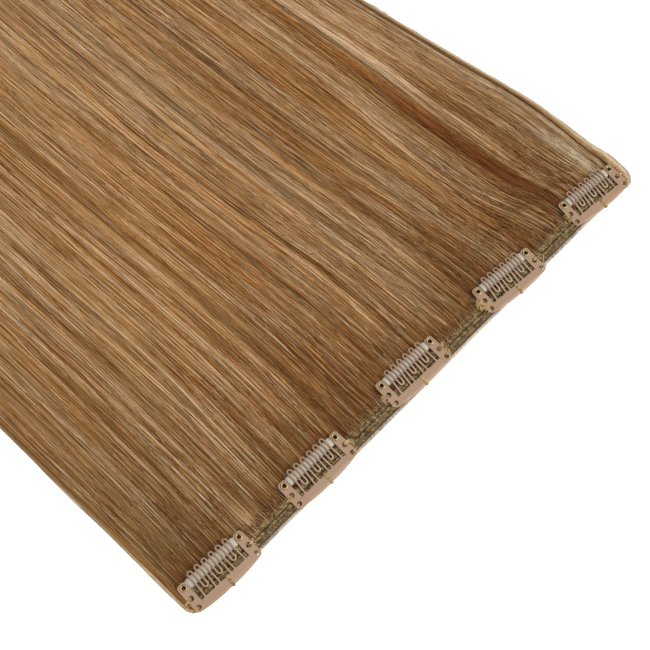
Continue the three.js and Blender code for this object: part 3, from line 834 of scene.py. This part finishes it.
# Clips
# Snap clips stamped from spring steel and enamelled a satin rose tan. The plate's band and the comb
# are one sheet: the comb's root lies in the plate's window and bends there when it snaps open.
RIVET_SPAN = 26.6
WINDOW_HALF = 11.45
PLATE_LOW = 3.3
PLATE_HIGH = 3.75
PLATE_THICK = PLATE_HIGH - PLATE_LOW
COMB_SEAT = 8.6
EDGE_ROUND = 0.13
EDGE_PROFILE = (
    # inset and rise as shares of the edge's round, then 0 below the plate or 1 above it
    (1.0, 0.0, 0),
    (0.3, 0.3, 0),
    (0.0, 1.0, 0),
    (0.0, 1.0, 1),
    (0.08, 0.62, 1),
    (0.3, 0.3, 1),
    (0.62, 0.08, 1),
    (1.0, 0.0, 1),
)
HALF_PLATE = (
    # x, y and round of the right half's corners, from the band's free edge to the window
    (7.93, -11.2, 5.28),
    (15.85, -9.9, 1.8),
    (15.35, 1.95, 1.5),
    (WINDOW_HALF, 1.95, 1.5),
    (WINDOW_HALF, -COMB_SEAT, 0.0),
)
PLATE_HOLES = ((13.3, 0.0, 1.05), (13.8, -4.4, 1.0), (13.9, -8.4, 0.9))
FREE_EDGE = -11.0
ROLL_END = 12.6
ROLL_FADE = 4.0
ROLLED = (9.0, 14.0)
ROLL_DROP = 2.3
ENAMEL_DEEP = (0.270, 0.163, 0.098, 1)
ENAMEL_PALE = (0.308, 0.190, 0.118, 1)


def rounded(corners, steps=8):
    """An outline with rounded corners: between the points a radius before and after a corner, the
    quadratic curve (1-t)^2 before + 2t(1-t) corner + t^2 after. Each point's softness comes with
    it: 0 at square corners, 1 at round ones, and more along the band's free edge."""
    points, soft = [], []
    t = np.linspace(0, 1, steps)[:, None]
    for i, (x, y, radius) in enumerate(corners):
        at = np.array([x, y])
        before = np.array(corners[i - 1][:2]) - at
        after = np.array(corners[(i + 1) % len(corners)][:2]) - at
        if radius == 0:
            points.append(at[None])
            soft.append([0.0])
            continue
        enter = at + before * radius / np.linalg.norm(before)
        leave = at + after * radius / np.linalg.norm(after)
        curve = (1 - t) ** 2 * enter + 2 * t * (1 - t) * at + t**2 * leave
        inward = np.clip((ROLL_END - np.abs(curve[:, 0])) / ROLL_FADE, 0, 1) * (y < FREE_EDGE)
        points.append(curve)
        soft.append(1 + (ROLLED[int(x > 0)] - 1) * inward)
    return np.concatenate(points), np.concatenate(soft)


def circle(x, y, radius, sides=24):
    """A clockwise ring of points: centre plus radius times cos and sin."""
    turn = -2 * np.pi * np.arange(sides) / sides
    return np.stack([x + radius * np.cos(turn), y + radius * np.sin(turn)], -1)


def normals_of(loop):
    """For each corner of a closed outline, the way out of it, square to its neighbours' line."""
    ahead = np.roll(loop, -1, axis=0) - np.roll(loop, 1, axis=0)
    ahead /= np.maximum(np.linalg.norm(ahead, axis=1, keepdims=True), 1e-9)
    return np.stack([ahead[:, 1], -ahead[:, 0]], -1)


def area_of(loop):
    """The area inside a closed outline, more than 0 where it runs counter-clockwise."""
    x, y = loop[:, 0], loop[:, 1]
    return 0.5 * np.sum(x * np.roll(y, -1) - y * np.roll(x, -1))


def stamped(outline, soft, holes, underside):
    """A stamped plate: EDGE_PROFILE, a quarter circle above and below, carried round the outline
    counter-clockwise and round its holes clockwise, and the flat faces between them. underside
    gives the lower face's height for a y. Above, a softness over 1 rolls the edge down over a
    wider strip, by up to ROLL_DROP times as much."""
    loops = [(outline, soft, 1)] + [(hole, np.ones(len(hole)), -1) for hole in holes]
    points, walls, caps, start = [], [], [], 0
    for loop, soft, winding in loops:
        if area_of(loop) * winding < 0:
            loop, soft = loop[::-1], soft[::-1]
        out = normals_of(loop)
        low = underside(loop[:, 1])
        rings = []
        for inset, rise, above in EDGE_PROFILE:
            wide = soft if above else np.minimum(soft, 1)
            plan = loop - out * (inset * EDGE_ROUND * wide)[:, None]
            drop = rise * EDGE_ROUND * np.clip(soft, 1, ROLL_DROP)
            z = low + PLATE_THICK - drop if above else low + rise * EDGE_ROUND
            rings.append(np.concatenate([plan, z[:, None]], axis=1))
        at = start + np.arange(len(EDGE_PROFILE) * len(loop)).reshape(-1, len(loop))
        beside = np.roll(at, -1, axis=1)
        walls.append(np.stack([at[:-1], beside[:-1], beside[1:], at[1:]], -1).reshape(-1, 4))
        points.append(np.concatenate(rings))
        caps.append((at[-1], at[0]))
        start += at.size
    points = np.concatenate(points)
    upper = np.concatenate([cap[0] for cap in caps])
    lower = np.concatenate([cap[1] for cap in caps])
    flat = [[Vector((*points[i, :2], 0)) for i in cap[0]] for cap in caps]
    fills = np.array(tessellate_polygon(flat))
    x, y = points[upper, 0], points[upper, 1]
    a, b, c = fills.T
    turn = (x[b] - x[a]) * (y[c] - y[a]) - (y[b] - y[a]) * (x[c] - x[a])
    fills = np.where((turn > 0)[:, None], fills, fills[:, ::-1])
    return points, np.concatenate(walls), upper[fills], lower[fills[:, ::-1]]


def set_in_place(body, clip):
    """Points of a clip's own frame, turned by its angle and moved to its place on the weft."""
    x, y, degrees = CLIPS[clip]
    turn = math.radians(degrees)
    points = body[0].copy()
    points[:, 0] = x + body[0][:, 0] * math.cos(turn) - body[0][:, 1] * math.sin(turn)
    points[:, 1] = y + body[0][:, 0] * math.sin(turn) + body[0][:, 1] * math.cos(turn)
    return points, *body[1:]


def clip_plate():
    """The plate: arms beside an open window, and a band whose free edge bulges."""
    left_half = [(-x, y, radius) for x, y, radius in reversed(HALF_PLATE)]
    holes = [circle(side * x, y, radius) for side in (-1, 1) for x, y, radius in PLATE_HOLES]
    return stamped(*rounded([*left_half, *HALF_PLATE]), holes, lambda y: np.full_like(y, PLATE_LOW))


TOOTH_PITCH = 1.68
TOOTH_WIDTH = 0.61
CELLS = (-1, 0, 1)
CELL_PITCH = 4 * TOOTH_PITCH
CELL_PITCH_AT_ROOT = 7.07
LOOP_CENTRE = 2.25
BEND_CENTRE = 4.15
LOOP_DROP = 0.25
COMB_ROOT = 7.2
FOLD_LINE = -2.2
CLIMB = 0.9
CLIMB_END = -1.7
LOOP_REACH = 1.18
ROOT_HALF = 11.42
SLOT_ROUND = 0.5


def arc(x, y, radius, start, end, steps):
    """Points along a circle's arc: centre plus radius times cos and sin, from start to end degrees."""
    turn = np.radians(np.linspace(start, end, steps))
    return np.stack([x + radius * np.cos(turn), y + radius * np.sin(turn)], -1)


def folded(start, fold_x, end, spacing=0.45):
    """Even points on the straight lines from start to the fold line at fold_x and on to end, without
    start and end themselves."""
    fold = (fold_x, FOLD_LINE)
    lines = []
    for here, there in ((start, fold), (fold, end)):
        steps = max(2, int(math.dist(here, there) / spacing) + 1)
        lines.append(np.linspace(here, there, steps)[1:-1])
    return np.concatenate([lines[0], [fold], lines[1]])


def root_corner(x, turn_in):
    """The rounded foot of a leg's side line, from the root strip up."""
    upper = 180 if turn_in > 0 else 360
    return arc(x + turn_in * SLOT_ROUND, SLOT_ROUND - COMB_ROOT, SLOT_ROUND, 270, upper, 5)


def strip_side(cell, side):
    """One side line of a cell's strip, which runs up a leg, round a loop, down to a bend, up, round a
    second loop and down the other leg. side is 1 for the line outside the loops, -1 for the inner."""
    half = side * TOOTH_WIDTH / 2
    loop_steps, bend_steps = (15, 9) if side > 0 else (11, 15)
    x, foot = cell * CELL_PITCH, cell * CELL_PITCH_AT_ROOT
    leg = 1.5 * TOOTH_PITCH + half
    inner = TOOTH_PITCH / 2 - half
    root, loop, bend = SLOT_ROUND - COMB_ROOT, LOOP_CENTRE, -BEND_CENTRE
    return np.concatenate(
        [
            root_corner(foot - leg, -side),
            folded((foot - leg, root), x - leg, (x - leg, loop)),
            arc(x - TOOTH_PITCH, loop, TOOTH_PITCH / 2 + half, 180, 0, loop_steps),
            folded((x - inner, loop), x - inner, (x - inner, bend)),
            arc(x, bend, inner, 180, 360, bend_steps),
            folded((x + inner, bend), x + inner, (x + inner, loop)),
            arc(x + TOOTH_PITCH, loop, TOOTH_PITCH / 2 + half, 180, 0, loop_steps),
            folded((x + leg, loop), x + leg, (foot + leg, root)),
            root_corner(foot + leg, side)[::-1],
        ]
    )


def comb_underside(y):
    """Level with the plate at the root, up over the sleeve, and dipping at the loops' tips."""
    climb = smooth_step(y, -COMB_ROOT, CLIMB_END)
    dip = np.clip((y - LOOP_CENTRE) / LOOP_REACH, 0, 1)
    return PLATE_LOW + CLIMB * climb - LOOP_DROP * dip**2


def clip_comb():
    """The comb: the root strip and a strip bent into two loops in each cell, which leaves an opening
    between its legs. Its edge is square where the root meets the plate's band."""
    seat = np.array([(-ROOT_HALF, -COMB_SEAT), (-ROOT_HALF, -COMB_ROOT)])
    outline = np.concatenate([seat, *(strip_side(cell, 1) for cell in CELLS), seat[::-1] * (-1, 1)])
    soft = (outline[:, 1] > -COMB_SEAT).astype(float)
    return stamped(outline, soft, [strip_side(cell, -1) for cell in CELLS], comb_underside)


clip_enamel, wire = material("rose tan enamel")
cloud = wire.noise(120.0, 2.0)
finish_with(
    wire,
    Base_Color=cloud.blend(ENAMEL_DEEP, ENAMEL_PALE),
    Roughness=cloud.spread(0.34, 0.42),
    Specular_IOR_Level=0.45,
    Normal=wire.noise(2600.0, 1.0).relief(0.12, 0.0001),
)

SLEEVE_HALF = 11.15
SLEEVE_WIDTH = 3.8
SLEEVE_LOW = 2.0
SLEEVE_HIGH = 4.06
SLEEVE_SIDES = 28
SLEEVE_SQUARE = 0.85
CUT_ROUND = 0.25
MILK_CLEAR = (0.365, 0.326, 0.262, 1)
MILK_PALE = (0.44, 0.397, 0.322, 1)


def sleeve_tube():
    """The sleeve's squarish section carried along the bar, its size swelling a little by slow sines
    and drawn in at both cut ends."""
    x = np.concatenate([[-1, -0.996], np.linspace(-0.985, 0.985, 40), [0.996, 1]]) * SLEEVE_HALF
    y, z = section(SLEEVE_SIDES, SLEEVE_SQUARE)
    ends = np.clip((SLEEVE_HALF - np.abs(x)) / CUT_ROUND, 0, 1)
    size = (0.93 + 0.07 * np.sqrt(ends)) * (1 + 0.008 * np.sin(x * 1.3) + 0.006 * np.sin(x * 2.9))
    rings = np.empty((len(x), len(y), 3))
    rings[:, :, 0] = x[:, None]
    rings[:, :, 1] = SLEEVE_WIDTH / 2 * size[:, None] * y
    rings[:, :, 2] = (SLEEVE_LOW + SLEEVE_HIGH) / 2 + (SLEEVE_HIGH - SLEEVE_LOW) / 2 * size[:, None] * z
    return ringed(rings)


sleeve_silicone, wire = material("milky silicone")
milky = wire.noise(500.0, 3.0)
finish_with(
    wire,
    Base_Color=milky.blend(MILK_CLEAR, MILK_PALE),
    Roughness=0.5,
    Subsurface_Weight=0.7,
    Subsurface_Radius=(1.0, 0.9, 0.8),
    Subsurface_Scale=0.0012,
    Normal=milky.relief(0.2, 0.0002),
)

BORE = 0.75
BARREL = 0.95
FLANGE = 1.4
FLANGE_LAP = 0.02
UPPER_FLANGE = 3.86
UPPER_ROUND = 0.27
LOWER_FLANGE = 2.6
LOWER_ROUND = 0.25
BRASS_DULL = (0.27, 0.195, 0.075, 1)
BRASS_BRIGHT = (0.44, 0.345, 0.17, 1)


def turned(profile, x, y, sides=28):
    """A closed profile of radius and height turned about an upright line at x, y."""
    turn = 2 * np.pi * np.arange(sides) / sides
    radius, height = profile.T
    across = x + radius * np.cos(turn)[:, None]
    rings = np.stack([across, y + radius * np.sin(turn)[:, None], height + 0 * across], -1)
    at = np.arange(across.size).reshape(across.shape)
    around, beside = np.roll(at, -1, axis=0), np.roll(at, -1, axis=1)
    both = np.roll(around, -1, axis=1)
    return rings.reshape(-1, 3), np.stack([at, around, both, beside], -1).reshape(-1, 4)


def rivet_profile():
    """Over the rolled upper flange in a half circle, down the bore, round the lower flange and up
    the barrel: radius and height pairs."""
    turn = np.linspace(0, np.pi, 9)
    across = (BORE + FLANGE) / 2 + (FLANGE - BORE) / 2 * np.cos(turn)
    over = np.stack([across, UPPER_FLANGE + UPPER_ROUND * np.sin(turn)], -1)
    under = np.stack([across, LOWER_FLANGE - LOWER_ROUND * np.sin(turn)], -1)[::-1]
    barrel = [(BARREL, LOWER_FLANGE + FLANGE_LAP), (BARREL, UPPER_FLANGE - FLANGE_LAP)]
    return np.concatenate([over, under, barrel])


rivet_brass, wire = material("rolled brass")
tarnish = wire.noise(900.0, 2.0)
brass = tarnish.blend(BRASS_DULL, BRASS_BRIGHT)
finish_with(wire, Base_Color=brass, Roughness=tarnish.spread(0.3, 0.48), Metallic=1.0)

for clip, (clip_x, clip_y, degrees) in CLIPS.items():
    plate = piece(f"{clip}_plate", *set_in_place(clip_plate(), clip), flat=2)
    dress(plate, clip_enamel, "extension", "clip_enamel", f"{clip}_frame")
    comb = piece(f"{clip}_teeth", *set_in_place(clip_comb(), clip), flat=2)
    comb.data.materials.append(clip_enamel)
    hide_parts(f"{clip}_comb")
    middle = Vector((clip_x, clip_y, (PLATE_LOW + PLATE_HIGH) / 2))
    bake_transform(comb)
    sleeve = piece(f"{clip}_tube", *set_in_place(sleeve_tube(), clip))
    dress(sleeve, sleeve_silicone, "extension", "sleeve_silicone", f"{clip}_sleeve")
    pair = joined(*(turned(rivet_profile(), side * RIVET_SPAN / 2, 0) for side in (-1, 1)))
    rivets = piece(f"{clip}_rivets", *set_in_place(pair, clip))
    dress(rivets, rivet_brass, "extension", "eyelet_brass", f"{clip}_eyelet_left", f"{clip}_eyelet_right")

STEEL_DARK = (0.34, 0.34, 0.33, 1)
STEEL_LIGHT = (0.5, 0.5, 0.49, 1)
bar_steel, wire = material("rolled steel strip")
steel = wire.noise(1.0, 2.0, stretch=(60, 3000, 3000)).blend(STEEL_DARK, STEEL_LIGHT)
finish_with(wire, Base_Color=steel, Roughness=0.35, Metallic=1.0)
for clip in CLIPS:
    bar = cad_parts[f"{clip}_bar"]
    bar.data.materials.clear()
    bar.data.materials.append(bar_steel)

# Hand sewing
# Each clip is sewn on by hand with the same golden thread: stitches run from the arms' holes over
# the plate's side edges, three turns go round the middle of its band, and the ends are knotted off.
SEW_RADIUS = 0.16
SEW_SIDES = 5
SEW_WORN = (0.24, 0.145, 0.050, 1)
SEW_GOLD = (0.55, 0.38, 0.165, 1)
BAND_TURNS = (0.16, 0.5, 0.83)
TURN_MIDDLE = (-9.225, 3.45)
TURN_HALF = (2.275, 0.48)
TURN_SQUARE = 0.3
STITCHES_A_HOLE = (4, 2)
KNOT_MIDDLE = (15.9, -5.0, 3.45)
KNOT_LOW = 3.05
KNOTS = (
    # clip, side, threads, spread
    ("clip_1", -1, 3, 0.6),
    ("clip_1", 1, 4, 0.7),
    ("clip_2", -1, 4, 0.7),
    ("clip_2", 1, 5, 0.8),
    ("clip_3", -1, 5, 0.7),
    ("clip_3", 1, 10, 1.1),
    ("clip_4", -1, 18, 1.5),
    ("clip_4", 1, 6, 0.9),
    ("clip_5", -1, 6, 0.9),
    ("clip_5", 1, 3, 0.5),
)


def band_turns():
    """Turns of thread round the band: closed flat loops, y and z powers of cos and sin of the turn,
    beginning and ending underneath."""
    turn = np.radians(np.linspace(-95, 275, 26))
    y = TURN_MIDDLE[0] + TURN_HALF[0] * squared_off(np.cos(turn), TURN_SQUARE)
    z = TURN_MIDDLE[1] + TURN_HALF[1] * squared_off(np.sin(turn), TURN_SQUARE)
    x = np.array(BAND_TURNS)[:, None] + 0.12 * np.sin(turn + 1.5)
    return np.stack([x, y + 0 * x, z + 0 * x], -1)


def edge_stitches(side):
    """Stitches from each sewing hole over the arm's outer edge: x runs out evenly, z is a half sine
    raised to a low power, and each stitch leans its own way."""
    share = np.linspace(0, 1, 9)
    holes = np.repeat([row[:2] for row in PLATE_HOLES[1:]], STITCHES_A_HOLE, axis=0)
    lean = bell(0, 0.55, len(holes))
    x = holes[:, :1] - 0.1 + (2.9 + even(0, 0.5, len(holes))) * share
    y = holes[:, 1:] + bell(0, 0.25, len(holes)) + lean * share
    z = 2.75 + (1.2 + 0.08 * bell(0, 1, len(holes))) * np.sin(np.pi * share) ** 0.45
    return np.stack([side * x, y, z], -1)


def knot(side, threads, spread):
    """A tangle beside the arm: arcs of circles of random size, place and tilt."""
    share = np.linspace(0, 1, 12)
    start = even(0, 2 * np.pi, threads)
    turn = start + np.radians(even(150, 330, threads)) * share
    size = even(0.45, 0.8 + 0.5 * spread, threads)
    middle_x, middle_y, middle_z = KNOT_MIDDLE
    x = side * (middle_x + bell(0.1, 0.35 * spread, threads)) + size * np.cos(turn)
    y = middle_y + bell(0, 0.8 * spread, threads) + size * np.sin(turn)
    tilt = bell(0, 0.35, threads)
    z = middle_z + even(0, 0.45, threads) + tilt * size * np.sin(turn)
    return np.stack([x, y, np.maximum(z, KNOT_LOW)], -1)


gloss = {"Roughness": 0.6, "Specular_IOR_Level": 0.3}
sewing_gold = plied_thread("hand sewing thread", SEW_WORN, SEW_GOLD, 700.0, 3500.0, 0.36, **gloss)

for clip in CLIPS:
    paths = [band_turns(), edge_stitches(-1), edge_stitches(1)]
    paths += [knot(side, threads, spread) for owner, side, threads, spread in KNOTS if owner == clip]
    made = joined(*(carried(path, np.full(path.shape[:2], SEW_RADIUS), SEW_SIDES) for path in paths))
    dress(piece(f"{clip}_sewing", *set_in_place(made, clip)), sewing_gold, "extension", "weft_track")

# Table, light and camera
# A plain pale table, a far broad key from the front right, a weaker fill overhead, a small light
# for the sheen of the clips' rolled edges, and a bright room.
TABLE_SIZE = 6
TABLE_GLOW = 0.5
ROOM_LIGHT = 0.49
EYE = Vector((-0.2064, -0.05165, 0.506))
AIM = Vector((-0.0118, 0.0402, 0.0))
ROLL = math.radians(19.5)
LENS = 80.03
WHITE = (1, 1, 1, 1)
TABLE_WHITE = (0.93, 0.93, 0.93, 1)

bpy.ops.mesh.primitive_plane_add(size=TABLE_SIZE)
table = bpy.context.object
table.name = "pale_table"
table_top, wire = material("pale table")
glow = {"Emission_Color": WHITE, "Emission_Strength": TABLE_GLOW}
finish_with(wire, Base_Color=TABLE_WHITE, Roughness=0.7, **glow)
table.data.materials.append(table_top)

world = bpy.data.worlds.new("room")
world.use_nodes = True
background = world.node_tree.nodes["Background"]
background.inputs["Color"].default_value = WHITE
background.inputs["Strength"].default_value = ROOM_LIGHT
bpy.context.scene.world = world


def soft_light(name, place, aim, size, power):
    """A square lamp at a place, facing its aim."""
    data = bpy.data.lights.new(name, "AREA")
    data.shape = "SQUARE"
    data.size = size
    data.energy = power
    made = bpy.data.objects.new(name, data)
    made.location = place
    made.rotation_euler = (Vector(aim) - Vector(place)).to_track_quat("-Z", "Y").to_euler()
    bpy.context.scene.collection.objects.link(made)


soft_light("key", (1.75, -1.75, 2.5), (0, 0.1, 0), 1.3, 82)
soft_light("fill", (-0.9, 0.5, 3.0), (0, 0.1, 0), 1.2, 29)
soft_light("sheen", (0.76, -0.52, 2.25), (0, 0, 0), 0.45, 13)


def look(eye, aim, roll):
    """The camera's place: it looks from eye to aim, turned by roll about that line."""
    back = (eye - aim).normalized()
    right = Vector((0, 0, 1)).cross(back).normalized()
    matrix = Matrix((right, back.cross(right), back)).transposed()
    return Matrix.Translation(eye) @ (matrix @ Matrix.Rotation(roll, 3, "Z")).to_4x4()


camera = bpy.data.objects.new("camera", bpy.data.cameras.new("camera"))
camera.data.lens = LENS
camera.data.sensor_width = 36
camera.data.clip_start = 0.01
camera.matrix_world = look(EYE, AIM, ROLL)
bpy.context.scene.collection.objects.link(camera)
bpy.context.scene.camera = camera
bpy.context.scene.view_settings.view_transform = "Standard"
bpy.context.scene.cycles.denoising_prefilter = "NONE"
